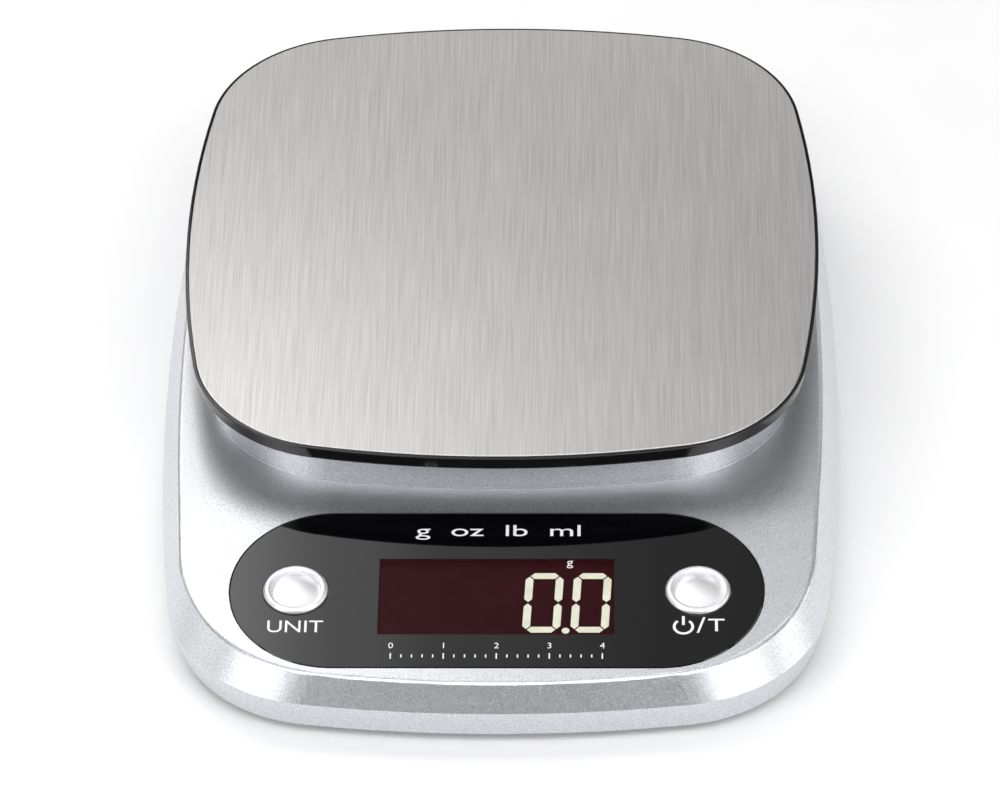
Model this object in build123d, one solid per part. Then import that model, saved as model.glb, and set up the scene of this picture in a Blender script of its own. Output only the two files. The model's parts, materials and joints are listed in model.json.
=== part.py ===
from build123d import *

import os
from collections import namedtuple
from math import cos, hypot, radians, sin, sqrt, tan

# Digital kitchen scale: a brushed steel plate on a black tray, carried by a bending-beam load cell
# inside a two-part silver housing, with a tilted control panel in front.
# Millimetres. X is to the right, +Y to the back, +Z up; the origin is on the table under the middle.

# A rectangle with bowed sides: four long arcs joined by four tangent corner arcs.
Outline = namedtuple("Outline", "half_w half_d side_r end_r corner_r centre_y")

# ---- Driving dimensions ----------------------------------------------------------------------
BODY = Outline(80.0, 111.0, 702.0, 318.0, 37.0, 0.0)
PLATFORM = Outline(75.7, 80.5, 292.0, 243.5, 35.6, 27.8)

FOOT_RISE = 2.5            # the housing's underside above the table
PARTING_Z = 10.8           # where the lower and upper housings meet, the widest level
LEVEL_Z = 20.8             # the housing's top behind the control panel
# The sloped side band runs from the body's outline up to this one; the top surface cuts it lower down.
BROW = Outline(74.8, 104.4, 714.0, 312.0, 40.4, 2.5)
BROW_Z = 24.0
# A raised collar stands on the top surface, under the platform.
COLLAR = Outline(71.2, 74.3, 286.0, 263.0, 32.7, 28.2)
ROOF_Z = 31.2              # top of the collar
TRAY_Z = 32.3              # underside of the platform tray
TOP_Z = 36.0               # weighing surface

BASE_UNDERCUT = 1.75       # the side wall leans in towards the table
COLLAR_LEAN = 0.6
FOOT_LEDGE = 0.5           # a small bead round the collar's foot
CREASE_R = 1.3             # rounds the edge between the top surface and the side band
BEND_R = 120.0             # rounds the change from the panel's slope to the level top
WALL = 2.2
FLOOR = 2.0
ROOF_T = 2.0
FLOOR_Z = FOOT_RISE + FLOOR

STEEL_T = 0.8
TAPE_T = 0.5
LIP_W = 0.6                # the tray's rim around the steel plate
STEEL_GAP = 0.22
TRAY_TAPER = 0.3
LIP_Z = TOP_Z - 0.25
TRAY_FLOOR_Z = TOP_Z - STEEL_T - TAPE_T

PANEL_TILT = 4.3           # degrees, rising to the back
PANEL_Y, PANEL_Z = -78.5, 18.85
PANEL_W, PANEL_H, PANEL_T = 122.4, 48.0, 1.5
PANEL_GAP = 0.15
SEAT_T, SEAT_RIM = 1.8, 3.0          # the shelf under the panel, and how far it reaches past it
SEAT_BOTTOM = -PANEL_T - SEAT_T
WINDOW_X = (-27.0, 26.9)
WINDOW_V = (-13.8, 9.6)

BUTTON_X, BUTTON_V, BUTTON_R = 46.0, -0.4, 7.35
BUTTON_GAP = 0.3
STEM_END, PLUNGER_R = -5.2, 1.65

CELL_L, CELL_W = 80.0, 12.7          # bending-beam load cell, square section
CELL_HOLES = (20.0, 35.0)            # from its middle, two at each end
CELL_Z = 10.0
CELL_TOP = CELL_Z + CELL_W
CELL_Y = PLATFORM.centre_y
SHIM_T = 1.0
OVERLOAD_GAP = 0.6
M4_R, M4_CLEAR_R, M4_HEAD_R, M4_HEAD_H = 2.0, 2.25, 3.8, 2.4
THREAD_GAP = 0.05

AAA_R, AAA_L, AAA_NUB_R, AAA_NUB_H = 5.15, 43.5, 1.9, 1.0
BAY_Y, BAY_HALF_X, BAY_HALF_Y = 72.0, 25.5, 11.5
BAY_WALL = 1.5
CELL_PITCH = 11.4
BATTERY_Z = 9.9
BAY_ROOF_Z = BATTERY_Z + AAA_R + 0.5
CONTACT_T = 0.4
SPRING_R, SPRING_WIRE_R, SPRING_TURNS = 2.9, 0.35, 4
COVER_T, COVER_HALF_X, COVER_HALF_Y = 1.6, 30.0, 14.0
COVER_GAP = 0.3             # all round the cover and above it
HINGE_Y = BAY_Y - COVER_HALF_Y + COVER_T / 2
HINGE_Z = FOOT_RISE + COVER_T / 2

HOUSING_SCREWS = [(sx * x, y) for x, y in ((66, -62), (68, 15), (63, 80)) for sx in (-1, 1)]
BOSS_JOIN_Z = 11.0
FEET = {"front_left": (-52, -86), "front_right": (52, -86), "rear_left": (-48, 90), "rear_right": (48, 90)}
FOOT_R, FOOT_POCKET = 7.0, 1.0

BOARD_TOP, BOARD_T = -9.5, 1.6       # below the panel's face, along its normal
BOARD_HALF_X, BOARD_HALF_V = 56.0, 17.0
BOARD_SCREWS = [(sx * 33.0, sv * 13.2) for sx in (-1, 1) for sv in (-1, 1)]
MODULE_FACE = -1.7
MODULE_T = 7.0
SEGMENT_T = 0.6
DIGIT_X = [-22.4 + 11.0 * i for i in range(5)]
DIGIT_V = -2.5
POINT_R = 0.9
POINT_AT = [(x + 5.2, DIGIT_V - 8.6) for x in DIGIT_X[:-1]]
BATTERY_SOCKET_X, CELL_SOCKET_X = -15.0, 15.0
LEAD_R = 0.6
LEAD_FLOOR_Z = FLOOR_Z + 1.2

tilt = radians(PANEL_TILT)
panel_frame = Plane(
    origin=(0, PANEL_Y, PANEL_Z), x_dir=(1, 0, 0), z_dir=(0, -sin(tilt), cos(tilt))
).location


# ---- Helpers ---------------------------------------------------------------------------------
def outline_wire(shape, z, inset=0.0):
    """The closed wire of an outline, moved in by inset, at height z."""
    half_w, half_d, side, end, corner = (v - inset for v in shape[:5])
    side_x, end_y = half_w - side, half_d - end
    # The corner arc's centre is side - corner from one long arc's centre and end - corner from the other's.
    to_side, to_end, gap = side - corner, end - corner, hypot(side_x, end_y)
    along = (to_side**2 - to_end**2 + gap**2) / (2 * gap)
    off = sqrt(to_side**2 - along**2)
    cx = side_x - along * side_x / gap - off * end_y / gap
    cy = along * end_y / gap - off * side_x / gap
    a = ((cx - side_x) / to_side, cy / to_side)
    b = (cx / to_end, (cy - end_y) / to_end)
    m = (a[0] + b[0], a[1] + b[1])
    m = (m[0] / hypot(*m), m[1] / hypot(*m))
    p, q, r = ((cx + corner * ux, cy + corner * uy) for ux, uy in (a, m, b))

    def arc(first, middle, last):
        return ThreePointArc(*[(x, y + shape.centre_y, z) for x, y in (first, middle, last)])

    def flip(point, sx, sy):
        return (sx * point[0], sy * point[1])

    return Wire([
        arc(flip(p, 1, -1), (half_w, 0), p),
        arc(p, q, r),
        arc(r, (0, half_d), flip(r, -1, 1)),
        arc(flip(r, -1, 1), flip(q, -1, 1), flip(p, -1, 1)),
        arc(flip(p, -1, 1), (-half_w, 0), flip(p, -1, -1)),
        arc(flip(p, -1, -1), flip(q, -1, -1), flip(r, -1, -1)),
        arc(flip(r, -1, -1), (0, -half_d), flip(r, 1, -1)),
        arc(flip(r, 1, -1), flip(q, 1, -1), flip(p, 1, -1)),
    ])


def lofted(*sections, ruled=True):
    """A solid through (outline, z, inset) sections."""
    return Solid.make_loft([outline_wire(*s) for s in sections], ruled)


def block(x, y, z):
    """A box between (low, high) pairs."""
    mids, sizes = zip(*[((lo + hi) / 2, hi - lo) for lo, hi in (x, y, z)])
    return Pos(*mids) * Box(*sizes)


def rod(x, y, z, r):
    """A round bar along Z between z's (low, high)."""
    return Pos(x, y, (z[0] + z[1]) / 2) * Cylinder(r, z[1] - z[0])


def stadium(grow, w):
    """The panel's shape grown all round, between heights w's (low, high) in the panel's frame."""
    slot = SlotOverall(PANEL_W + 2 * grow, PANEL_H + 2 * grow)
    return Pos(0, 0, w[0]) * extrude(slot, w[1] - w[0])


def on_panel(solid):
    return panel_frame * solid


def screw(z_head, head_r, head_h, shank_r, length):
    """A pan-head screw standing along +Z from its head's underside at z_head, driven from below."""
    head = rod(0, 0, (z_head - head_h, z_head), head_r)
    head = fillet(head.edges().sort_by(Axis.Z)[0], head_h * 0.4)
    cross = block((-head_r * 0.55, head_r * 0.55), (-0.35, 0.35), (z_head - head_h, z_head - head_h * 0.45))
    shank = rod(0, 0, (z_head, z_head + length), shank_r)
    shank = chamfer(shank.edges().sort_by(Axis.Z)[-1], shank_r * 0.5)
    return head + shank - cross - Rot(0, 0, 90) * cross


def lead(points, radii, wire_r):
    """An insulated wire: straight runs joined by tangent arcs."""
    path = FilletPolyline(*points, radius=radii)
    section = Plane(origin=path @ 0, z_dir=path % 0) * Circle(wire_r)
    return sweep(section, path=path)


def in_panel(x, v, w):
    """A point given in the panel's frame."""
    return (panel_frame * Pos(x, v, w)).position


# ---- Housings --------------------------------------------------------------------------------
def under_top(drop=0.0):
    """Everything below the top's surface, lowered by drop: the panel's slope, then level to the back."""
    bend_y = PANEL_Y + (LEVEL_Z - PANEL_Z) / tan(tilt)
    front, back = -150, 150
    slope = Line((front, LEVEL_Z - drop - (bend_y - front) * tan(tilt)), (bend_y, LEVEL_Z - drop))
    level = Line((bend_y, LEVEL_Z - drop), (back, LEVEL_Z - drop))
    bend = fillet((slope + level).vertices().sort_by(Axis.X)[1], BEND_R)
    ends = bend.vertices().sort_by(Axis.X)
    closing = Polyline(ends[-1], (back, -20), (front, -20), ends[0])
    profile = make_face(bend.edges() + closing.edges())
    return extrude(Plane.YZ.location * profile, 150, both=True)


def is_crease(edge):
    """Whether an edge of the lid is where its top surface meets the side band."""
    box = edge.bounding_box()
    crosses_lid = edge.geom_type == GeomType.LINE and box.size.X > BODY.half_w
    return box.min.Z > PARTING_Z + 2 and not crosses_lid


def make_upper_outer():
    lid = lofted((BODY, PARTING_Z, 0), (BROW, BROW_Z, 0)) & under_top()
    lid = fillet([edge for edge in lid.edges() if is_crease(edge)], CREASE_R)
    ring = lofted((COLLAR, LEVEL_Z - 1, 0), (COLLAR, ROOF_Z, COLLAR_LEAN))
    ring = fillet(ring.faces().sort_by(Axis.Z)[-1].edges(), 0.7)
    foot = lofted((COLLAR, LEVEL_Z - 1, -FOOT_LEDGE), (COLLAR, LEVEL_Z + FOOT_LEDGE / 2, -FOOT_LEDGE / 2))
    return Part() + lid + ring + foot


def make_upper_housing():
    outer = make_upper_outer()
    tongue_z = PARTING_Z + 1.8
    cavity = lofted((BODY, PARTING_Z - 1, WALL), (BODY, tongue_z, WALL))
    cavity += lofted((BODY, tongue_z, WALL), (BROW, BROW_Z, WALL)) & under_top(ROOF_T)
    cavity += lofted((COLLAR, LEVEL_Z - ROOF_T - 1, WALL), (COLLAR, ROOF_Z - ROOF_T, WALL + COLLAR_LEAN))
    shell = outer - cavity
    shell += on_panel(stadium(SEAT_RIM, (SEAT_BOTTOM, -PANEL_T))) & outer
    bosses = [rod(x, y, (BOSS_JOIN_Z, LEVEL_Z - 0.2), 3.4) for x, y in HOUSING_SCREWS]
    bosses += [on_panel(rod(x, v, (BOARD_TOP, SEAT_BOTTOM + 0.5), 2.6)) for x, v in BOARD_SCREWS]
    shell += [boss & outer for boss in bosses]
    cuts = [on_panel(stadium(PANEL_GAP, (-PANEL_T, 5)))]
    cuts += [on_panel(block((-28.2, 28.2), (-14.7, 10.5), (SEAT_BOTTOM - 1, 0)))]
    button_hole = (SEAT_BOTTOM - 1, 1), BUTTON_R + BUTTON_GAP
    cuts += [on_panel(rod(sx * BUTTON_X, BUTTON_V, *button_hole)) for sx in (-1, 1)]
    cuts += [on_panel(rod(x, v, (BOARD_TOP - 1, BOARD_TOP + 5.5), 1.1)) for x, v in BOARD_SCREWS]
    cuts += [rod(x, y, (BOSS_JOIN_Z - 1, 16.5), 1.25) for x, y in HOUSING_SCREWS]
    cuts += [block((12.0, 43.0), (CELL_Y - 11, CELL_Y + 11), (ROOF_Z - 4, ROOF_Z + 1))]
    return shell - cuts


def bay_floor_pad():
    """Thicker floor round the battery bay, for the cover's ledge."""
    return block((-33.5, 33.5), (BAY_Y - 18.5, BAY_Y + 17.5), (FOOT_RISE, FOOT_RISE + 3.2))


def make_lower_housing():
    outer = lofted((BODY, FOOT_RISE, BASE_UNDERCUT), (BODY, PARTING_Z, 0))
    outer = fillet(outer.faces().sort_by(Axis.Z)[0].edges(), 0.8)
    shell = outer - lofted((BODY, FLOOR_Z, WALL + 1.1), (BODY, PARTING_Z + 1, WALL))
    tongue = lofted((BODY, PARTING_Z - 2.5, WALL + 0.1), (BODY, PARTING_Z + 1.5, WALL + 0.1))
    shell += tongue - lofted((BODY, PARTING_Z - 2.6, WALL + 1.5), (BODY, PARTING_Z + 1.6, WALL + 1.5))
    adds = [rod(x, y, (FLOOR_Z - 0.5, BOSS_JOIN_Z - 0.1), 3.6) for x, y in HOUSING_SCREWS]
    adds += [block((-41, -17), (CELL_Y - 8, CELL_Y + 8), (FLOOR_Z - 0.5, CELL_Z - SHIM_T))]
    adds += [rod(30, CELL_Y, (FLOOR_Z - 0.5, CELL_Z - OVERLOAD_GAP), 4.0)]
    adds += [block((x - 0.75, x + 0.75), (-50, 60), (FLOOR_Z - 0.5, FLOOR_Z + 3)) for x in (-55, 55)]
    adds += [bay_floor_pad()]
    wall_x, wall_y = BAY_HALF_X + BAY_WALL, BAY_HALF_Y + BAY_WALL
    bay_z = (FLOOR_Z - 0.5, BAY_ROOF_Z + BAY_WALL)
    adds += [block((-wall_x, wall_x), (BAY_Y - wall_y, BAY_Y + wall_y), bay_z)]
    shell += adds
    cuts = [rod(x, y, (0, 20), 1.7) for x, y in HOUSING_SCREWS]
    cuts += [rod(x, y, (0, FOOT_RISE + 2.4), 3.2) for x, y in HOUSING_SCREWS]
    cuts += [rod(-x, CELL_Y, (0, 20), M4_CLEAR_R) for x in CELL_HOLES]
    cuts += [rod(-x, CELL_Y, (0, FOOT_RISE + 3.0), M4_HEAD_R + 0.4) for x in CELL_HOLES]
    cuts += [rod(x, y, (0, FOOT_RISE + FOOT_POCKET), FOOT_R + 0.1) for x, y in FEET.values()]
    # Battery bay: the chamber, the cover's recess, slots for the cover's hooks and a finger scoop.
    cuts += [block((-BAY_HALF_X, BAY_HALF_X), (BAY_Y - BAY_HALF_Y, BAY_Y + BAY_HALF_Y), (0, BAY_ROOF_Z))]
    lead_hole = Rot(0, 90, 0) * Cylinder(LEAD_R + 0.2, 4)
    cuts += [Pos(-BAY_HALF_X, battery_y(i), BATTERY_Z) * lead_hole for i in range(2)]
    edge_x, edge_y = COVER_HALF_X + COVER_GAP, COVER_HALF_Y + COVER_GAP
    cuts += [block((-edge_x, edge_x), (BAY_Y - edge_y, BAY_Y + edge_y), (0, FOOT_RISE + COVER_T + COVER_GAP))]
    cuts += [block((x - 4, x + 4), (HINGE_Y - 3.4, HINGE_Y + 0.9), (HINGE_Z - 0.35, HINGE_Z + 3.4))
             for x in (-18, 18)]
    cuts += [Pos(0, BAY_Y + COVER_HALF_Y + 2, FOOT_RISE) * scale(Sphere(8), (1.0, 0.75, 0.17))]
    return shell - cuts


# ---- Platform --------------------------------------------------------------------------------
def make_steel_plate():
    plate = lofted((PLATFORM, TOP_Z - STEEL_T, LIP_W + STEEL_GAP), (PLATFORM, TOP_Z, LIP_W + STEEL_GAP))
    return fillet(plate.faces().sort_by(Axis.Z)[-1].edges(), 0.3)


def make_platform_tray():
    tray = lofted((PLATFORM, TRAY_Z, TRAY_TAPER), (PLATFORM, LIP_Z, 0))
    tray = fillet(tray.faces().sort_by(Axis.Z)[0].edges(), 0.5)
    tray = fillet(tray.faces().sort_by(Axis.Z)[-1].edges(), 0.25)
    tray = Part() + tray - lofted((PLATFORM, TRAY_FLOOR_Z, LIP_W), (PLATFORM, TOP_Z + 1, LIP_W))
    tray += block((15, 40), (CELL_Y - 8, CELL_Y + 8), (CELL_TOP + SHIM_T, TRAY_Z + 0.5))
    cuts = [rod(x, CELL_Y, (0, TOP_Z), M4_CLEAR_R) for x in CELL_HOLES]
    cuts += [rod(x, CELL_Y, (TRAY_Z - 0.4, TOP_Z), M4_HEAD_R + 0.4) for x in CELL_HOLES]
    return tray - cuts


def make_plate_tape():
    """Four strips of mounting tape between the tray and the steel plate."""
    z = (TRAY_FLOOR_Z, TRAY_FLOOR_Z + TAPE_T)
    along_x = [block((-50, 50), (CELL_Y + s * 60 - 5, CELL_Y + s * 60 + 5), z) for s in (-1, 1)]
    along_y = [block((s * 60 - 5, s * 60 + 5), (CELL_Y - 45, CELL_Y + 45), z) for s in (-1, 1)]
    return Compound(along_x + along_y)


# ---- Load cell -------------------------------------------------------------------------------
def make_load_cell():
    beam = Pos(0, CELL_Y, CELL_Z + CELL_W / 2) * Box(CELL_L, CELL_W, CELL_W)
    beam = chamfer(beam.edges().filter_by(Axis.X), 0.4)
    mid = CELL_Z + CELL_W / 2
    eyes = [Pos(sx * 8, CELL_Y, mid) * Rot(90, 0, 0) * Cylinder(4.9, CELL_W + 2) for sx in (-1, 1)]
    slot = block((-8, 8), (CELL_Y - CELL_W, CELL_Y + CELL_W), (mid - 2, mid + 2))
    ends = [sx * x for x in CELL_HOLES for sx in (-1, 1)]
    holes = [rod(x, CELL_Y, (CELL_Z - 1, CELL_TOP + 1), M4_R + THREAD_GAP) for x in ends]
    return beam - eyes - slot - holes


def make_gauge_coating():
    """Soft potting over the strain gauges, on the thin parts of the beam."""
    pads = []
    for z in ((CELL_TOP, CELL_TOP + 0.9), (CELL_Z - 0.9, CELL_Z)):
        pad = block((-13, 13), (CELL_Y - 5.2, CELL_Y + 5.2), z)
        pads.append(fillet(pad.edges().filter_by(Axis.Z), 2.0))
    return Compound(pads)


def shim(x, z):
    plate = block((x - 11, x + 11), (CELL_Y - CELL_W / 2, CELL_Y + CELL_W / 2), (z, z + SHIM_T))
    return plate - [rod(x + dx, CELL_Y, (z - 1, z + 3), M4_CLEAR_R) for dx in (-7.5, 7.5)]


def make_cell_screws():
    one = screw(FOOT_RISE + 3.0, M4_HEAD_R, M4_HEAD_H, M4_R, 13)
    return Compound([Pos(-x, CELL_Y, 0) * one for x in CELL_HOLES])


def make_platform_screws():
    one = Rot(180, 0, 0) * screw(0, M4_HEAD_R, M4_HEAD_H, M4_R, 18)
    return Compound([Pos(x, CELL_Y, TRAY_Z - 0.4) * one for x in CELL_HOLES])


# ---- Control panel and board, all set out in the panel's frame -------------------------------
def make_control_panel():
    panel = stadium(0, (-PANEL_T, 0))
    panel = chamfer(panel.edges().group_by(Axis.Z)[-1], 0.25)
    window = block(WINDOW_X, WINDOW_V, (-PANEL_T - 1, 1))
    holes = [rod(sx * BUTTON_X, BUTTON_V, (-PANEL_T - 1, 1), BUTTON_R + BUTTON_GAP) for sx in (-1, 1)]
    return on_panel(panel - window - holes)


def make_button():
    """A plated cap with a rounded rim bead, a groove and a domed middle; a flange keeps it in its hole."""
    cap = rod(0, 0, (SEAT_BOTTOM - 0.1, 0.35), BUTTON_R)
    flange = rod(0, 0, (SEAT_BOTTOM - 0.9, SEAT_BOTTOM - 0.1), BUTTON_R + 1.2)
    stem = rod(0, 0, (STEM_END, SEAT_BOTTOM - 0.9), 2.0)
    bead = Pos(0, 0, 0.1) * Torus(BUTTON_R - 0.95, 0.95)
    well = rod(0, 0, (-0.45, 2), BUTTON_R - 1.6)
    dome_r, rise = BUTTON_R - 1.85, 1.0
    ball_r = (dome_r**2 + rise**2) / (2 * rise)
    dome = Pos(0, 0, 0.62 - ball_r) * Sphere(ball_r) & rod(0, 0, (-0.6, 2), dome_r)
    return Part() + cap + bead + flange + stem - well + dome


def make_switch():
    case = block((-3, 3), (-3, 3), (BOARD_TOP, BOARD_TOP + 3.5))
    bore = rod(0, 0, (BOARD_TOP + 1.4, BOARD_TOP + 4), PLUNGER_R + 0.35)
    legs = [block((sx * 3, sx * 3 + sx * 0.7)[::sx], (v - 0.35, v + 0.35), (BOARD_TOP, BOARD_TOP + 1.2))
            for sx in (-1, 1) for v in (-2.25, 2.25)]
    return Part() + case + legs - bore


def make_plunger():
    return rod(0, 0, (BOARD_TOP + 2.0, STEM_END), PLUNGER_R)


def make_circuit_board():
    w = (BOARD_TOP - BOARD_T, BOARD_TOP)
    board = block((-BOARD_HALF_X, BOARD_HALF_X), (-BOARD_HALF_V, BOARD_HALF_V), w)
    board = fillet(board.edges().filter_by(Axis.Z), 2.0)
    holes = [rod(x, v, (BOARD_TOP - 3, BOARD_TOP + 1), 1.6) for x, v in BOARD_SCREWS]
    pins = [rod(x, v, (BOARD_TOP - 3, BOARD_TOP + 1), 0.45) for x, v in pin_places()]
    return on_panel(board - holes - pins)


def pin_places():
    return [(-22.5 + 5.0 * i, v) for v in (-12.0, 8.0) for i in range(10)]


def segment_bars(lean=0.045):
    """Face shapes of one seven-segment digit, as {name: face}, centred, 8.6 wide and 18.4 high."""
    half_w, half_h, t, gap = 3.45, 8.3, 0.9, 0.22

    def bar(a, b):
        ux, uy = (b[0] - a[0]), (b[1] - a[1])
        length = hypot(ux, uy)
        ux, uy = ux / length, uy / length
        a, b = (a[0] + ux * gap, a[1] + uy * gap), (b[0] - ux * gap, b[1] - uy * gap)
        side = [(a[0] + ux * t, a[1] + uy * t), (b[0] - ux * t, b[1] - uy * t)]
        pts = [a] + [(x - uy * t, y + ux * t) for x, y in side] + [b]
        pts += [(x + uy * t, y - ux * t) for x, y in reversed(side)]
        return make_face(Polyline(*[(x + lean * y, y) for x, y in pts], close=True))

    tl, tr, ml, mr, bl, br = ((x, y) for y in (half_h, 0, -half_h) for x in (-half_w, half_w))
    return {"a": bar(tl, tr), "b": bar(tr, mr), "c": bar(mr, br), "d": bar(bl, br),
            "e": bar(ml, bl), "f": bar(tl, ml), "g": bar(ml, mr)}


def make_segments():
    """(lit, dark) light pipes: the last two digits and the point between them show 0.0."""
    lit, dark = [], []
    for number, x in enumerate(DIGIT_X):
        for name, face in segment_bars().items():
            bar = Pos(x, DIGIT_V, MODULE_FACE - SEGMENT_T) * extrude(face, SEGMENT_T)
            (lit if number >= 3 and name != "g" else dark).append(bar)
    for number, (x, v) in enumerate(POINT_AT):
        dot = rod(x, v, (MODULE_FACE - SEGMENT_T, MODULE_FACE), POINT_R)
        (lit if number == 3 else dark).append(dot)
    return lit, dark


def make_display_module(pipes):
    case = block((-27.6, 27.6), (-14.3, 10.1), (MODULE_FACE - MODULE_T, MODULE_FACE))
    return case - pipes


def make_display_pins():
    top = MODULE_FACE - MODULE_T
    return Compound([on_panel(rod(x, v, (BOARD_TOP - BOARD_T - 0.9, top), 0.3)) for x, v in pin_places()])


def make_board_screws():
    one = screw(BOARD_TOP - BOARD_T, 2.5, 1.5, 1.05, 6.6)
    return Compound([on_panel(Pos(x, v, 0) * one) for x, v in BOARD_SCREWS])


def under_board(x, v, dx, dv, h):
    top = BOARD_TOP - BOARD_T
    return on_panel(block((x - dx / 2, x + dx / 2), (v - dv / 2, v + dv / 2), (top - h, top)))


def make_chip():
    body = under_board(0, 2, 10.0, 7.5, 1.4)
    legs = [under_board(-4.4 + 1.27 * i, 2 + s * 4.35, 0.45, 1.2, 0.6) for i in range(8) for s in (-1, 1)]
    return Part() + body + legs


def make_board_parts():
    rows = [(x, v) for x in (-24, -20, -16, 16, 20, 24) for v in (-6, 0, 6)]
    return Compound([under_board(x, v, 2.0, 1.25, 0.7) for x, v in rows])


def make_connectors():
    """Two sockets at the board's back edge: batteries on the left, load cell on the right."""
    made = []
    for x in (BATTERY_SOCKET_X, CELL_SOCKET_X):
        case = block((x - 6, x + 6), (11.2, 16.2), (BOARD_TOP, BOARD_TOP + 5))
        made.append(on_panel(case - block((x - 5, x + 5), (13.5, 17), (BOARD_TOP + 1.4, BOARD_TOP + 3.8))))
    return Compound(made)


# ---- Battery bay -----------------------------------------------------------------------------
def battery_y(index):
    return BAY_Y + (index - 0.5) * CELL_PITCH


def make_battery(index):
    """An AAA cell along X; the first one's positive end is on the left, the second's on the right."""
    can = Cylinder(AAA_R, AAA_L)
    can = fillet(can.edges(), 0.6)
    nub = Pos(0, 0, AAA_L / 2 + AAA_NUB_H / 2) * Cylinder(AAA_NUB_R, AAA_NUB_H)
    turn = -90 if index == 0 else 90
    # The positive nub meets the flat contact at that end of the bay.
    shift = (BAY_HALF_X - CONTACT_T - AAA_NUB_H - AAA_L / 2) * (-1 if index == 0 else 1)
    return Pos(shift, battery_y(index), BATTERY_Z) * Rot(0, turn, 0) * (can + nub)


def contact_plate(side, y, half):
    x = side * (BAY_HALF_X - CONTACT_T / 2)
    z = (BATTERY_Z - 4.6, BATTERY_Z + 4.6)
    return block((x - CONTACT_T / 2, x + CONTACT_T / 2), (y - half, y + half), z)


def contact_spring(side, y):
    """A coil from the contact plate to the cell's flat end."""
    length = 2 * BAY_HALF_X - 2 * CONTACT_T - AAA_NUB_H - AAA_L
    rise = length - 2 * SPRING_WIRE_R - 0.06
    path = Helix(pitch=rise / SPRING_TURNS, height=rise, radius=SPRING_R)
    coil = sweep(Plane(origin=path @ 0, z_dir=path % 0) * Circle(SPRING_WIRE_R), path=path)
    start = side * (BAY_HALF_X - CONTACT_T - SPRING_WIRE_R - 0.03)
    return Pos(start, y, BATTERY_Z) * Rot(0, -side * 90, 0) * coil


def make_bridge_contact():
    """Joins the two cells at the right end: a spring on the first cell, a flat on the second."""
    return Compound([contact_plate(1, BAY_Y, 10.6), contact_spring(1, battery_y(0))])


def make_positive_contact():
    return contact_plate(-1, battery_y(0), 4.6)


def make_negative_contact():
    return Compound([contact_plate(-1, battery_y(1), 4.6), contact_spring(-1, battery_y(1))])


def make_battery_cover():
    """A flat cover with a rounded hinge edge, two hooks and a latch tongue by the finger scoop."""
    far_y = BAY_Y + COVER_HALF_Y
    plate = block((-COVER_HALF_X, COVER_HALF_X), (HINGE_Y, far_y), (FOOT_RISE, FOOT_RISE + COVER_T))
    plate = fillet(plate.edges().filter_by(Axis.Z).sort_by(Axis.Y)[-2:], 1.5)
    edge = Pos(0, HINGE_Y, HINGE_Z) * Rot(0, 90, 0) * Cylinder(COVER_T / 2, 2 * COVER_HALF_X)
    hooks = [block((x - 3, x + 3), (HINGE_Y - 2.6, HINGE_Y), (HINGE_Z, HINGE_Z + 0.75)) for x in (-18, 18)]
    slits = [block((x - 0.4, x + 0.4), (far_y - 7, far_y + 1), (0, 9)) for x in (-8, 8)]
    grooves = [far_y - 2 - 1.5 * i for i in range(3)]
    grip = [block((-6, 6), (y, y + 0.7), (0, FOOT_RISE + 0.35)) for y in grooves]
    top = FOOT_RISE + COVER_T
    stiffener = block((-24, 24), (BAY_Y - 0.6, BAY_Y + 0.6), (top - 0.2, top + 0.4))
    return Part() + plate + edge + hooks + stiffener - slits - grip


def make_foot(x, y):
    foot = rod(x, y, (0, FOOT_RISE + FOOT_POCKET), FOOT_R)
    return fillet(foot.edges().sort_by(Axis.Z)[0], 0.6)


def make_housing_screws():
    one = screw(FOOT_RISE + 2.4, 2.9, 1.8, 1.2, 10.5)
    return Compound([Pos(x, y, 0) * one for x, y in HOUSING_SCREWS])


# ---- Internal leads --------------------------------------------------------------------------
def lead_end(x):
    """Where a wire enters its socket from behind, and a point straight out of it."""
    return in_panel(x, 14.5, BOARD_TOP + 2.6), in_panel(x, 24.0, BOARD_TOP + 2.6)


def make_load_cell_leads():
    leads = []
    for i in range(4):
        x = CELL_SOCKET_X - 3.6 + 2.4 * i
        socket, out = lead_end(x)
        start_z = CELL_Z + 4.0 + 1.7 * i
        points = [(-14.5, CELL_Y - CELL_W / 2, start_z), (-14.5, CELL_Y - 16, start_z),
                  (x, 2, LEAD_FLOOR_Z), (x, -40, LEAD_FLOOR_Z), tuple(out), tuple(socket)]
        leads.append(lead(points, [4.0, 8.0, 8.0, 4.0], LEAD_R))
    return Compound(leads)


def make_battery_leads():
    """From the back of each left-hand contact, through the bay's wall and forward along the floor."""
    leads = []
    for i in range(2):
        x = BATTERY_SOCKET_X - 1.5 + 3.0 * i
        socket, out = lead_end(x)
        y, side_x = battery_y(i), -46 + 4.0 * i
        points = [(-BAY_HALF_X, y, BATTERY_Z), (-BAY_HALF_X - 7, y, BATTERY_Z)]
        points += [(side_x, y - 14, LEAD_FLOOR_Z), (side_x, 0, LEAD_FLOOR_Z)]
        points += [(x, -36, LEAD_FLOOR_Z), tuple(out), tuple(socket)]
        leads.append(lead(points, [4.0, 8.0, 12.0, 8.0, 3.5], LEAD_R))
    return Compound(leads)


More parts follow.
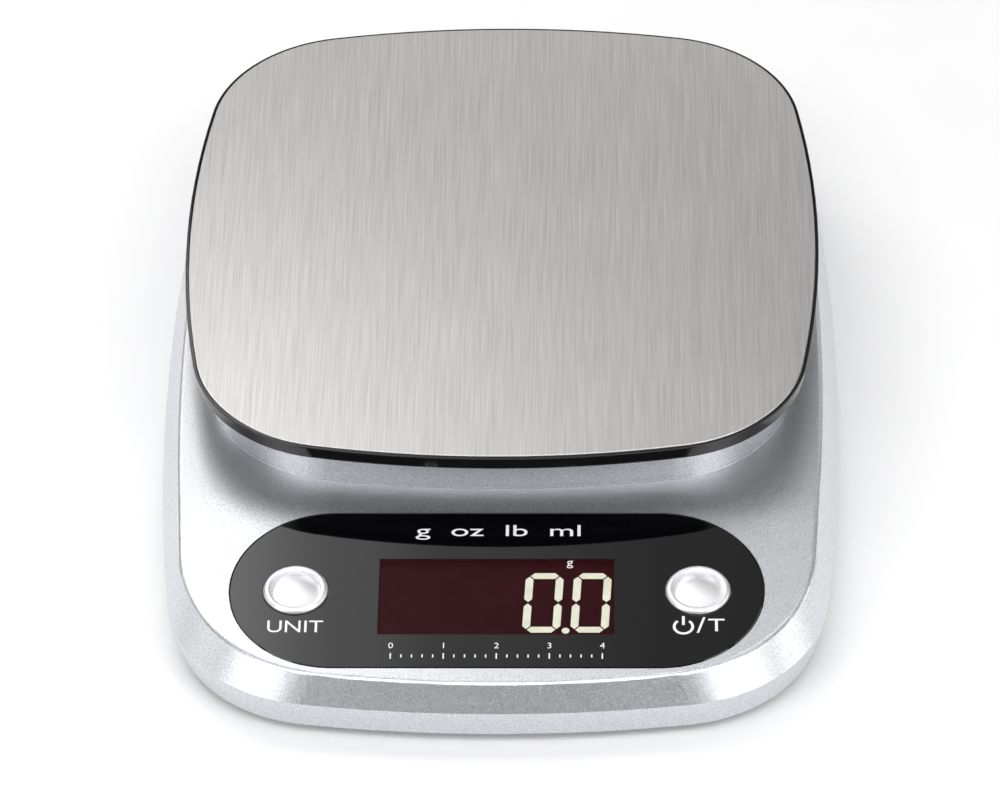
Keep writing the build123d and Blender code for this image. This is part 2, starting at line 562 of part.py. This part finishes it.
# ---- Build -----------------------------------------------------------------------------------
def build():
    lit, dark = make_segments()
    button, switch, plunger = make_button(), make_switch(), make_plunger()
    nodes = {
        "upper_housing": make_upper_housing(),
        "lower_housing": make_lower_housing(),
        "steel_plate": make_steel_plate(),
        "platform_tray": make_platform_tray(),
        "plate_tape": make_plate_tape(),
        "load_cell": make_load_cell(),
        "gauge_coating": make_gauge_coating(),
        "base_shim": shim(-27.5, CELL_Z - SHIM_T),
        "platform_shim": shim(27.5, CELL_TOP),
        "cell_screws": make_cell_screws(),
        "platform_screws": make_platform_screws(),
        "control_panel": make_control_panel(),
        "display_window": on_panel(block(WINDOW_X, WINDOW_V, (-PANEL_T, 0))),
        "display_module": on_panel(make_display_module(lit + dark)),
        "lit_segments": on_panel(Compound(lit)),
        "dark_segments": on_panel(Compound(dark)),
        "display_pins": make_display_pins(),
        "circuit_board": make_circuit_board(),
        "board_screws": make_board_screws(),
        "controller_chip": make_chip(),
        "board_parts": make_board_parts(),
        "lead_connectors": make_connectors(),
        "load_cell_leads": make_load_cell_leads(),
        "battery_leads": make_battery_leads(),
        "battery_1": make_battery(0),
        "battery_2": make_battery(1),
        "bridge_contact": make_bridge_contact(),
        "positive_contact": make_positive_contact(),
        "negative_contact": make_negative_contact(),
        "battery_cover": make_battery_cover(),
        "housing_screws": make_housing_screws(),
    }
    for side, name in ((-1, "unit"), (1, "power")):
        place = panel_frame * Pos(side * BUTTON_X, BUTTON_V, 0)
        nodes[f"{name}_button"] = place * button
        nodes[f"{name}_switch"] = place * switch
        nodes[f"{name}_plunger"] = place * plunger
    for name, (x, y) in FEET.items():
        nodes[f"foot_{name}"] = make_foot(x, y)
    return nodes


os.makedirs("parts", exist_ok=True)
for node, shape in build().items():
    export_step(shape, f"parts/{node}.step")
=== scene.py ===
import json
import math

import bpy
from mathutils import Matrix, Vector


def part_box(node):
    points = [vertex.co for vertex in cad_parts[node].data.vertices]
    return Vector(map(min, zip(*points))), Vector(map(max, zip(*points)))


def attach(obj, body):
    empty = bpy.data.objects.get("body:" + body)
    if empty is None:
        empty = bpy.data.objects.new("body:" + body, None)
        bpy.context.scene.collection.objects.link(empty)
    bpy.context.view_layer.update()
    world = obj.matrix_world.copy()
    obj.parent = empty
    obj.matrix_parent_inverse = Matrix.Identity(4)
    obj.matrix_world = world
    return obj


# Looks for the kitchen scale: procedural finishes on the CAD pieces, printed marks on the control
# panel, a pale floor and a soft studio. Metres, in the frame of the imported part; the marks on the
# panel are placed in millimetres from its middle.

# ---- Camera ------------------------------------------------------------------------------------
CAMERA_AZIMUTH, CAMERA_ELEVATION, CAMERA_ROLL = 1.529, 41.345, -1.027      # degrees
CAMERA_DISTANCE = 1.491
CAMERA_TARGET = Vector((-0.00078, 0.00853, 0.0))
CAMERA_LENS = 222.57

# ---- Studio ------------------------------------------------------------------------------------
FLOOR_SIZE = 8.0
# Area lights: place, the point each faces, size across and down, radiance.
SOFTBOXES = {
    "top_front": ((0.0, -0.6, 1.0), (0.0, -0.6, 0.0), (1.8, 0.6), 3.1),
    "top_back": ((0.0, 0.3, 1.0), (0.0, 0.3, 0.0), (1.8, 0.4), 2.1),
    "front": ((0.0, -1.4, 0.4), (0.0, 0.0, 0.0), (0.9, 0.4), 0.45),
    "front_left": ((-1.0, -0.9, 0.45), (0.0, -0.05, 0.0), (0.8, 0.7), 2.7),
    "front_right": ((1.0, -0.9, 0.45), (0.0, -0.05, 0.0), (0.8, 0.7), 3.0),
    "left": ((-1.2, 0.1, 0.35), (0.0, 0.0, 0.0), (0.9, 0.5), 1.4),
    "right": ((1.2, 0.1, 0.35), (0.0, 0.0, 0.0), (0.9, 0.5), 2.2),
}
# Glowing cards behind the scale: elevation, distance, half width, half height, radiance.
HIGH_CARD = (50.0, 0.8, 0.75, 0.2, 2.6)
LOW_CARD = (22.0, 1.0, 0.9, 0.2, 0.9)
# The high card's share of its radiance, from metres left of its middle to metres right of it.
HIGH_CARD_FADE = {-0.125: 1.0, -0.07: 0.46, -0.03: 0.26, 0.05: 0.14, 0.10: 0.11}

# ---- Printed marks on the panel ----------------------------------------------------------------
PRINT_LIFT = 0.00003           # printed marks stand this far off the panel's face
PRINT_T = 0.00001
PANEL_T = 0.0015               # the control panel's own thickness

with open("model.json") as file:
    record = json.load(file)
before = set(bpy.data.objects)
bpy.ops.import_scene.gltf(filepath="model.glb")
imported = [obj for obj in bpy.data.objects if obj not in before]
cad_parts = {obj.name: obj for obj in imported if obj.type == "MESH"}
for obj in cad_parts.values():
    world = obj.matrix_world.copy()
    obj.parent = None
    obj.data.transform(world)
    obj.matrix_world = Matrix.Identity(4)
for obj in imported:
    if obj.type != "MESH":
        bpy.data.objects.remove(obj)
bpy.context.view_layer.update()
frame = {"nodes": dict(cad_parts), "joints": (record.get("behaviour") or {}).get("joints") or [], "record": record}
nodes = frame["nodes"]


# ---- Shader helpers ----------------------------------------------------------------------------
def new_material(name, color, roughness, metallic=0.0, **sockets):
    """A Principled material with plain values, and its shader node."""
    material = bpy.data.materials.new(name)
    material.use_nodes = True
    shader = material.node_tree.nodes["Principled BSDF"]
    shader.inputs["Base Color"].default_value = (*color, 1)
    shader.inputs["Roughness"].default_value = roughness
    shader.inputs["Metallic"].default_value = metallic
    for socket, value in sockets.items():
        shader.inputs[socket.replace("_", " ")].default_value = value
    return material, shader


def add_node(material, kind, **settings):
    """A shader node; settings are its properties, or its inputs' values."""
    made = material.node_tree.nodes.new(kind)
    for key, value in settings.items():
        if key in made.bl_rna.properties:
            setattr(made, key, value)
        else:
            made.inputs[key.replace("_", " ")].default_value = value
    return made


def link(material, output, socket):
    """Joins one node's output to another's input."""
    material.node_tree.links.new(output, socket)


def object_coords(material, stretch=(1, 1, 1)):
    """Object coordinates in metres, scaled along each axis."""
    coords = add_node(material, "ShaderNodeTexCoord")
    mapping = add_node(material, "ShaderNodeMapping", Scale=stretch)
    link(material, coords.outputs["Object"], mapping.inputs["Vector"])
    return mapping.outputs["Vector"]


def noise(material, scale, detail=2.0, stretch=(1, 1, 1)):
    """Noise with spots of about 1/scale metres, from 0 to 1."""
    texture = add_node(material, "ShaderNodeTexNoise", Scale=scale, Detail=detail)
    link(material, object_coords(material, stretch), texture.inputs["Vector"])
    return texture.outputs["Fac"]


def spread(material, value, low, high, from_low=0.3, from_high=0.7):
    """Maps a pattern's range to low-high."""
    remap = add_node(
        material, "ShaderNodeMapRange", From_Min=from_low, From_Max=from_high, To_Min=low, To_Max=high
    )
    link(material, value, remap.inputs["Value"])
    return remap.outputs["Result"]


def blend_colors(material, value, dark, light):
    """Goes from the dark colour to the light one as a pattern rises."""
    ramp = add_node(material, "ShaderNodeValToRGB")
    for stop, position, color in zip(ramp.color_ramp.elements, (0.3, 0.7), (dark, light)):
        stop.position = position
        stop.color = (*color, 1)
    link(material, value, ramp.inputs["Fac"])
    return ramp.outputs["Color"]


def add_bump(material, shader, height, strength, distance):
    """A fine relief on the shader's normal."""
    bump = add_node(material, "ShaderNodeBump", Strength=strength, Distance=distance)
    link(material, height, bump.inputs["Height"])
    link(material, bump.outputs["Normal"], shader.inputs["Normal"])


# ---- Finishes ----------------------------------------------------------------------------------
def silver_paint():
    """Metallic lacquer: fine flakes that vary in brightness and tilt, under a thin clear coat."""
    material, shader = new_material(
        "silver_paint", (0.68, 0.69, 0.72), 0.36, 0.9, Coat_Weight=0.2, Coat_Roughness=0.15
    )
    flakes = noise(material, 3600, detail=1.0)
    color = blend_colors(material, flakes, (0.52, 0.53, 0.56), (0.84, 0.85, 0.88))
    link(material, color, shader.inputs["Base Color"])
    link(material, spread(material, noise(material, 1500), 0.31, 0.41), shader.inputs["Roughness"])
    add_bump(material, shader, flakes, 0.22, 0.00006)
    return material


def brushed_steel():
    """Fine brushing from front to back, with some longer, deeper strokes."""
    material, shader = new_material("brushed_steel", (0.62, 0.61, 0.595), 0.36, 1.0, Anisotropic=0.7)
    fine = noise(material, 3800, detail=2.0, stretch=(1, 0.012, 1))
    color = blend_colors(material, fine, (0.55, 0.54, 0.525), (0.70, 0.69, 0.675))
    link(material, color, shader.inputs["Base Color"])
    strokes = noise(material, 600, stretch=(1, 0.02, 1))
    link(material, spread(material, strokes, 0.345, 0.375), shader.inputs["Roughness"])
    add_bump(material, shader, fine, 0.08, 0.00004)
    tangent = add_node(material, "ShaderNodeTangent", direction_type="RADIAL", axis="Y")
    link(material, tangent.outputs["Tangent"], shader.inputs["Tangent"])
    return material


def black_gloss():
    """Gloss black moulding with a faint ripple."""
    material, shader = new_material("black_gloss", (0.008, 0.008, 0.009), 0.10)
    link(material, spread(material, noise(material, 900), 0.07, 0.14), shader.inputs["Roughness"])
    add_bump(material, shader, noise(material, 220), 0.04, 0.0001)
    return material


def panel_black():
    """Smooth black overlay, its gloss a little uneven."""
    material, shader = new_material("panel_black", (0.0015, 0.0015, 0.002), 0.04, IOR=1.6)
    gloss = spread(material, noise(material, 350, detail=3.0), 0.025, 0.05)
    link(material, gloss, shader.inputs["Roughness"])
    return material


def window_tint():
    """Dark red see-through window."""
    material, shader = new_material(
        "window_tint", (0.040, 0.004, 0.007), 0.05, Alpha=0.5, Specular_IOR_Level=0.1
    )
    color = blend_colors(material, noise(material, 120), (0.036, 0.004, 0.006), (0.044, 0.005, 0.008))
    link(material, color, shader.inputs["Base Color"])
    link(material, spread(material, noise(material, 350), 0.04, 0.07), shader.inputs["Roughness"])
    return material


def segment_lit():
    """Lit light pipes, warm white and slightly uneven."""
    material, shader = new_material("segment_lit", (0.9, 0.87, 0.75), 0.4, Emission_Strength=3.2)
    glow = blend_colors(material, noise(material, 420), (0.80, 0.84, 0.67), (0.96, 1.0, 0.81))
    link(material, glow, shader.inputs["Emission Color"])
    return material


def button_plating():
    """Satin chrome."""
    material, shader = new_material("button_plating", (0.90, 0.90, 0.92), 0.46, 1.0)
    link(material, spread(material, noise(material, 2200), 0.40, 0.52), shader.inputs["Roughness"])
    add_bump(material, shader, noise(material, 3000), 0.03, 0.00003)
    return material


def moulded(name, dark, light, roughness, scale=900, grain=0.12, metallic=0.0):
    """Moulded, cast or drawn stock: mottled colour, uneven gloss and a fine grain."""
    material, shader = new_material(name, light, roughness, metallic)
    link(material, blend_colors(material, noise(material, scale), dark, light), shader.inputs["Base Color"])
    gloss = spread(material, noise(material, scale * 0.6), roughness * 0.85, roughness * 1.1)
    link(material, gloss, shader.inputs["Roughness"])
    add_bump(material, shader, noise(material, scale * 2), grain, 0.00005)
    return material


def print_white():
    """White screen printing, faintly mottled."""
    material, shader = new_material("print_white", (0.85, 0.85, 0.86), 0.5)
    color = blend_colors(material, noise(material, 2500), (0.80, 0.80, 0.81), (0.90, 0.90, 0.91))
    link(material, color, shader.inputs["Base Color"])
    return material


FINISHES = {
    "silver_paint": silver_paint(),
    "brushed_steel": brushed_steel(),
    "black_gloss": black_gloss(),
    "panel_black": panel_black(),
    "window_tint": window_tint(),
    "display_case": moulded("display_case", (0.016, 0.004, 0.006), (0.022, 0.006, 0.009), 0.6),
    "segment_lit": segment_lit(),
    "segment_dark": moulded("segment_dark", (0.022, 0.006, 0.009), (0.030, 0.009, 0.012), 0.5),
    "button_plating": button_plating(),
    "board_green": moulded("board_green", (0.010, 0.09, 0.04), (0.016, 0.13, 0.06), 0.3),
    "chip_black": moulded("chip_black", (0.016, 0.016, 0.018), (0.026, 0.026, 0.028), 0.55),
    "component_tan": moulded("component_tan", (0.36, 0.27, 0.18), (0.46, 0.35, 0.25), 0.5),
    "socket_white": moulded("socket_white", (0.78, 0.77, 0.72), (0.86, 0.85, 0.81), 0.5),
    "tinned_metal": moulded("tinned_metal", (0.62, 0.62, 0.60), (0.72, 0.72, 0.70), 0.28, metallic=1.0),
    "screw_steel": moulded("screw_steel", (0.54, 0.54, 0.54), (0.64, 0.64, 0.63), 0.33, metallic=1.0),
    "cell_aluminium": moulded("cell_aluminium", (0.70, 0.71, 0.72), (0.78, 0.79, 0.80), 0.35, metallic=1.0),
    "gauge_potting": moulded("gauge_potting", (0.78, 0.76, 0.70), (0.88, 0.86, 0.81), 0.55),
    "tape_foam": moulded("tape_foam", (0.70, 0.70, 0.67), (0.80, 0.80, 0.77), 0.9, grain=0.4),
    "lead_red": moulded("lead_red", (0.50, 0.02, 0.02), (0.62, 0.04, 0.04), 0.4),
    "foot_rubber": moulded("foot_rubber", (0.045, 0.045, 0.050), (0.065, 0.065, 0.070), 0.75, grain=0.3),
    "battery_jacket": moulded("battery_jacket", (0.035, 0.07, 0.14), (0.055, 0.10, 0.18), 0.3),
    "cover_silver": moulded(
        "cover_silver", (0.56, 0.57, 0.59), (0.64, 0.65, 0.67), 0.45, scale=2400, grain=0.2
    ),
}
PRINT_WHITE = print_white()


def apply_finishes():
    """Each CAD node takes the finish of its material slot in the record."""
    for part in frame["record"]["subparts"]:
        mesh = nodes[part["node"]].data
        mesh.materials.clear()
        mesh.materials.append(FINISHES[part["material_slot"]])


# ---- Printed marks -----------------------------------------------------------------------------
def panel_matrix():
    """The control panel's frame: its middle, with Z out of its face, from the panel's own corners."""
    low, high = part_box("control_panel")
    press = next(j for j in frame["joints"] if j["name"] == "unit_button_press")
    normal = Vector(press["axis"]).normalized()
    across = Vector((1, 0, 0))
    up = normal.cross(across)
    middle = (low + high) / 2 + normal * PANEL_T / 2
    return Matrix.Translation(middle) @ Matrix((across, up, normal)).transposed().to_4x4()


PANEL = panel_matrix()


def place_print(name, mesh, x, v):
    """Puts a flat mark on the panel at (x, v) millimetres from its middle; it rides on the base."""
    mark = bpy.data.objects.new(name, mesh)
    bpy.context.scene.collection.objects.link(mark)
    mesh.materials.clear()
    mesh.materials.append(PRINT_WHITE)
    mark.matrix_world = PANEL @ Matrix.Translation((x / 1000, v / 1000, PRINT_LIFT))
    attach(mark, "base")


def letters(name, text, x, v, height, width=None):
    """A word height mm tall, centred on (x, v); without a width in mm, the type isn't stretched."""
    curve = bpy.data.curves.new(name, "FONT")
    curve.body = text
    curve.align_x, curve.align_y = "CENTER", "CENTER"
    curve.extrude = PRINT_T / 2
    curve.resolution_u = 6
    draft = bpy.data.objects.new(name + "_draft", curve)
    bpy.context.scene.collection.objects.link(draft)
    bpy.context.view_layer.update()
    mesh = bpy.data.meshes.new_from_object(draft)
    bpy.data.objects.remove(draft)
    xs = [point.co.x for point in mesh.vertices]
    ys = [point.co.y for point in mesh.vertices]
    middle = Vector(((min(xs) + max(xs)) / 2, (min(ys) + max(ys)) / 2, 0))
    tall = height / 1000 / (max(ys) - min(ys))
    wide = width / 1000 / (max(xs) - min(xs)) if width else tall
    scale = Vector((wide, tall, 1))
    for point in mesh.vertices:
        point.co = (point.co - middle) * scale
    place_print(name, mesh, x, v)


def flat_mesh(name, outlines):
    """Thin plates from closed outlines in millimetres."""
    verts, faces = [], []
    for outline in outlines:
        n, first = len(outline), len(verts)
        verts += [(x / 1000, y / 1000, z) for z in (0.0, PRINT_T) for x, y in outline]
        low, top = range(first, first + n), range(first + n, first + 2 * n)
        faces += [tuple(top), tuple(reversed(low))]
        faces += [(low[i], low[(i + 1) % n], top[(i + 1) % n], top[i]) for i in range(n)]
    mesh = bpy.data.meshes.new(name)
    mesh.from_pydata(verts, [], faces)
    return mesh


def bar(x, y, width, height, slant=0.0):
    """A rectangle centred on (x, y), leaning by slant at its top."""
    w, h = width / 2, height / 2
    return [(x - w - slant, y - h), (x + w - slant, y - h), (x + w + slant, y + h), (x - w + slant, y + h)]


def power_mark(radius=2.1, stroke=0.62, opening=38.0, steps=40):
    """The standard power symbol: an open ring and an upright bar."""
    start, end = math.radians(90 + opening), math.radians(450 - opening)
    angles = [start + (end - start) * i / steps for i in range(steps + 1)]
    quads = []
    for a, b in zip(angles, angles[1:]):
        inner, outer = radius - stroke / 2, radius + stroke / 2
        corners = ((b, inner), (b, outer), (a, outer), (a, inner))
        quads.append([(r * math.cos(t), r * math.sin(t) - 0.5) for t, r in corners])
    return flat_mesh("power_mark", quads + [bar(0, 1.35, stroke, 2.7)])


def print_marks():
    """Control legends, unit names over the window and a plain graduation under it."""
    letters("mark_units", "g  oz  lb  ml", 0.1, 17.9, 4.6, 38.0)
    letters("mark_unit_key", "UNIT", -45.7, -11.4, 3.6, 12.7)
    place_print("mark_power", power_mark(), 42.6, -10.9)
    place_print("mark_slash", flat_mesh("mark_slash", [bar(0, 0, 0.55, 4.8, 0.75)]), 46.6, -10.9)
    letters("mark_tare", "T", 50.1, -10.9, 3.8, 3.7)
    letters("mark_gram", "g", 16.7, 7.8, 2.3)
    ticks = [bar(-24 + 2.4 * i, 0, 0.3, 1.7 if i % 5 == 0 else 0.95) for i in range(21)]
    place_print("mark_graduation", flat_mesh("mark_graduation", ticks), 0.2, -20.4)
    for i in range(5):
        letters(f"mark_number_{i}", str(i), -23.8 + 12.0 * i, -17.2, 1.7)


# ---- Studio and camera -------------------------------------------------------------------------
def add_floor():
    """A plain pale floor under the feet."""
    half = FLOOR_SIZE / 2
    mesh = bpy.data.meshes.new("floor")
    corners = [(-half, -half, 0), (half, -half, 0), (half, half, 0), (-half, half, 0)]
    mesh.from_pydata(corners, [], [(0, 1, 2, 3)])
    floor = bpy.data.objects.new("floor", mesh)
    bpy.context.scene.collection.objects.link(floor)
    material, shader = new_material("floor_paper", (0.96, 0.96, 0.965), 0.9)
    color = blend_colors(material, noise(material, 40), (0.955, 0.955, 0.96), (0.97, 0.97, 0.975))
    link(material, color, shader.inputs["Base Color"])
    mesh.materials.append(material)


def add_softbox(name, place, aim, size, radiance):
    """A rectangular area light; an area light's power is its radiance times pi times its area."""
    data = bpy.data.lights.new(name, "AREA")
    data.shape = "RECTANGLE"
    data.size, data.size_y = size
    data.energy = radiance * math.pi * size[0] * size[1]
    lamp = bpy.data.objects.new(name, data)
    lamp.location = place
    lamp.rotation_euler = (Vector(place) - Vector(aim)).to_track_quat("Z", "Y").to_euler()
    bpy.context.scene.collection.objects.link(lamp)


def add_card(name, elevation, distance, half_w, half_h, radiance, fade=None):
    """A glowing card behind the scale; fade gives its share of glow from left to right."""
    angle = math.radians(elevation)
    outward = Vector((0, math.cos(angle), math.sin(angle)))
    across = Vector((1, 0, 0))
    up = outward.cross(across)
    low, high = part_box("control_panel")
    middle = (low + high) / 2 + outward * distance
    mesh = bpy.data.meshes.new(name)
    corners = [(-half_w, -half_h, 0), (half_w, -half_h, 0), (half_w, half_h, 0), (-half_w, half_h, 0)]
    mesh.from_pydata(corners, [], [(0, 1, 2, 3)])
    card = bpy.data.objects.new(name, mesh)
    card.matrix_world = Matrix.Translation(middle) @ Matrix((across, up, outward)).transposed().to_4x4()
    bpy.context.scene.collection.objects.link(card)
    card.visible_camera = False
    material = bpy.data.materials.new(name)
    material.use_nodes = True
    material.node_tree.nodes.clear()
    glow = add_node(material, "ShaderNodeEmission", Strength=radiance)
    output = add_node(material, "ShaderNodeOutputMaterial")
    link(material, glow.outputs["Emission"], output.inputs["Surface"])
    if fade:
        link(material, fade_across(material, fade), glow.inputs["Color"])
    mesh.materials.append(material)


def fade_across(material, fade):
    """A grey that follows fade, which maps object X in metres to a share from 0 to 1."""
    coords = add_node(material, "ShaderNodeTexCoord")
    axes = add_node(material, "ShaderNodeSeparateXYZ")
    link(material, coords.outputs["Object"], axes.inputs["Vector"])
    left, right = min(fade), max(fade)
    place = spread(material, axes.outputs["X"], 0.0, 1.0, left, right)
    ramp = add_node(material, "ShaderNodeValToRGB")
    ramp.color_ramp.interpolation = "EASE"
    stops = ramp.color_ramp.elements
    while len(stops) < len(fade):
        stops.new(0.5)
    for stop, (x, share) in zip(stops, sorted(fade.items())):
        stop.position = (x - left) / (right - left)
        stop.color = (share, share, share, 1)
    link(material, place, ramp.inputs["Fac"])
    return ramp.outputs["Color"]


def add_world():
    """A dark studio; only the lights and cards are seen in the gloss."""
    world = bpy.data.worlds.new("studio")
    world.use_nodes = True
    world.node_tree.nodes["Background"].inputs["Color"].default_value = (0, 0, 0, 1)
    bpy.context.scene.world = world


def add_camera():
    """The camera, turned about the target by azimuth and elevation and rolled about its own axis."""
    azimuth, elevation, roll = (math.radians(a) for a in (CAMERA_AZIMUTH, CAMERA_ELEVATION, CAMERA_ROLL))
    back = Vector((
        math.sin(azimuth) * math.cos(elevation), -math.cos(azimuth) * math.cos(elevation), math.sin(elevation)
    ))
    right = (-back).cross(Vector((0, 0, 1))).normalized()
    up = back.cross(right)
    rolled_right = right * math.cos(roll) + up * math.sin(roll)
    rolled_up = up * math.cos(roll) - right * math.sin(roll)
    data = bpy.data.cameras.new("camera")
    data.sensor_width = 36.0
    data.lens = CAMERA_LENS
    data.clip_start, data.clip_end = 0.05, 20.0
    camera = bpy.data.objects.new("camera", data)
    turn = Matrix((rolled_right, rolled_up, back)).transposed().to_4x4()
    camera.matrix_world = Matrix.Translation(CAMERA_TARGET + back * CAMERA_DISTANCE) @ turn
    bpy.context.scene.collection.objects.link(camera)
    bpy.context.scene.camera = camera


apply_finishes()
print_marks()
add_floor()
for name, settings in SOFTBOXES.items():
    add_softbox(name, *settings)
add_card("high_card", *HIGH_CARD, fade=HIGH_CARD_FADE)
add_card("low_card", *LOW_CARD)
add_world()
add_camera()
bpy.context.scene.view_settings.view_transform = "Standard"
